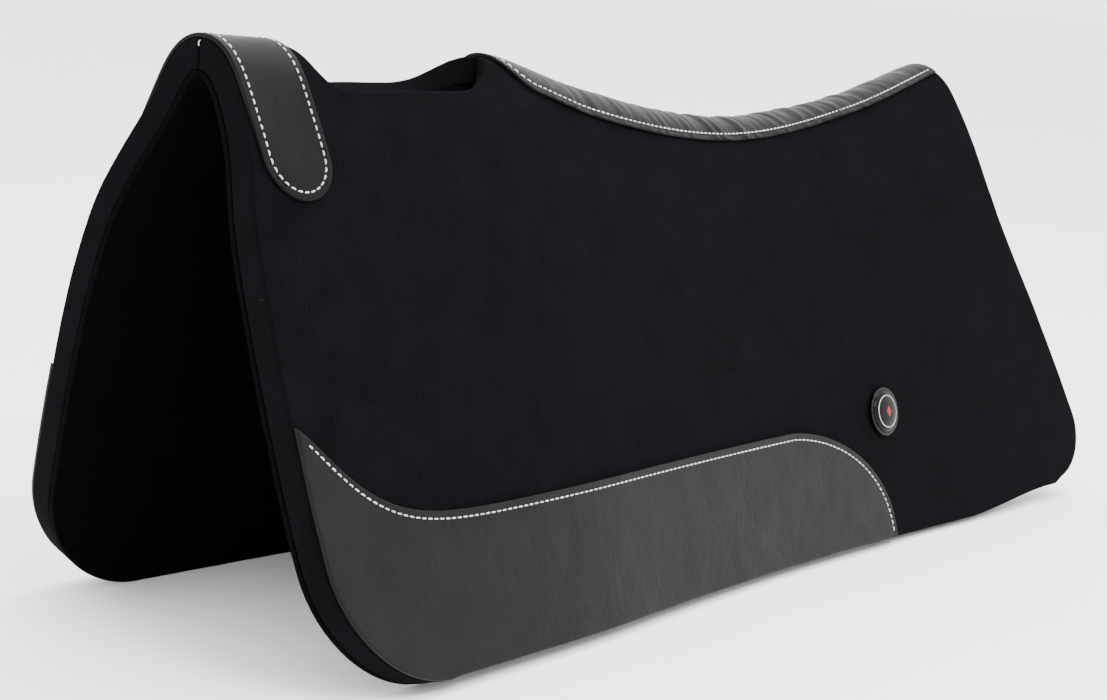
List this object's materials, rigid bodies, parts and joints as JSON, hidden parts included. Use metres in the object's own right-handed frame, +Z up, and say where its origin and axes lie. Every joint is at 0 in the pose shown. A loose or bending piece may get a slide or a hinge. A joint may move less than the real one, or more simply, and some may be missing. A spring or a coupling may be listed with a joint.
{
  "type": "saddle pad",
  "caption": "Contoured felt saddle pad with a withers opening, leather strap, spine leather and wear leathers; it stands on its flaps and folds along its spine.",
  "frame": {"origin": "on the floor, under the middle of the pad's box", "axes": "+X towards the horse's head, +Y the horse's left, +Z up; the spine runs along X"},
  "size_m": [0.9244, 0.3144, 0.3695],
  "materials": {
    "wool_felt": "pressed black wool felt, short nap",
    "wool_felt_lining": "denser black wool felt against the horse",
    "black_leather": "satin black leather with a fine grain",
    "white_thread": "bonded off-white thread",
    "black_nickel": "polished black nickel",
    "badge_enamel": "clear domed resin over black enamel"
  },
  "bodies": {
    "left_side": {"felt_outer_left": "wool_felt", "felt_inner_left": "wool_felt_lining", "wear_leather_left": "black_leather", "wear_leather_stitching_left": "white_thread", "badge_base_left": "black_nickel", "badge_dome_left": "badge_enamel", "badge_post_left": "black_nickel", "badge_washer_left": "black_nickel", "withers_strap": "black_leather", "withers_strap_stitching": "white_thread", "spine_leather": "black_leather", "spine_leather_stitching_left": "white_thread", "spine_leather_stitching_right": "white_thread", "spine_seam_thread_front": "white_thread", "spine_seam_thread_rear": "white_thread"},
    "right_side": {"felt_outer_right": "wool_felt", "felt_inner_right": "wool_felt_lining", "wear_leather_right": "black_leather", "wear_leather_stitching_right": "white_thread", "badge_base_right": "black_nickel", "badge_dome_right": "badge_enamel", "badge_post_right": "black_nickel", "badge_washer_right": "black_nickel"}
  },
  "joints": [
    {"name": "spine_fold", "type": "hinge", "parent": "left_side", "child": "right_side", "pos_m": [0, 0, 0.335], "axis": [-1, 0, 0], "range_deg": [-8, 15], "stiffness_Nm_per_rad": 40, "deforming": ["withers_strap", "withers_strap_stitching", "spine_leather", "spine_leather_stitching_left", "spine_leather_stitching_right", "spine_seam_thread_front", "spine_seam_thread_rear"]}
  ]
}
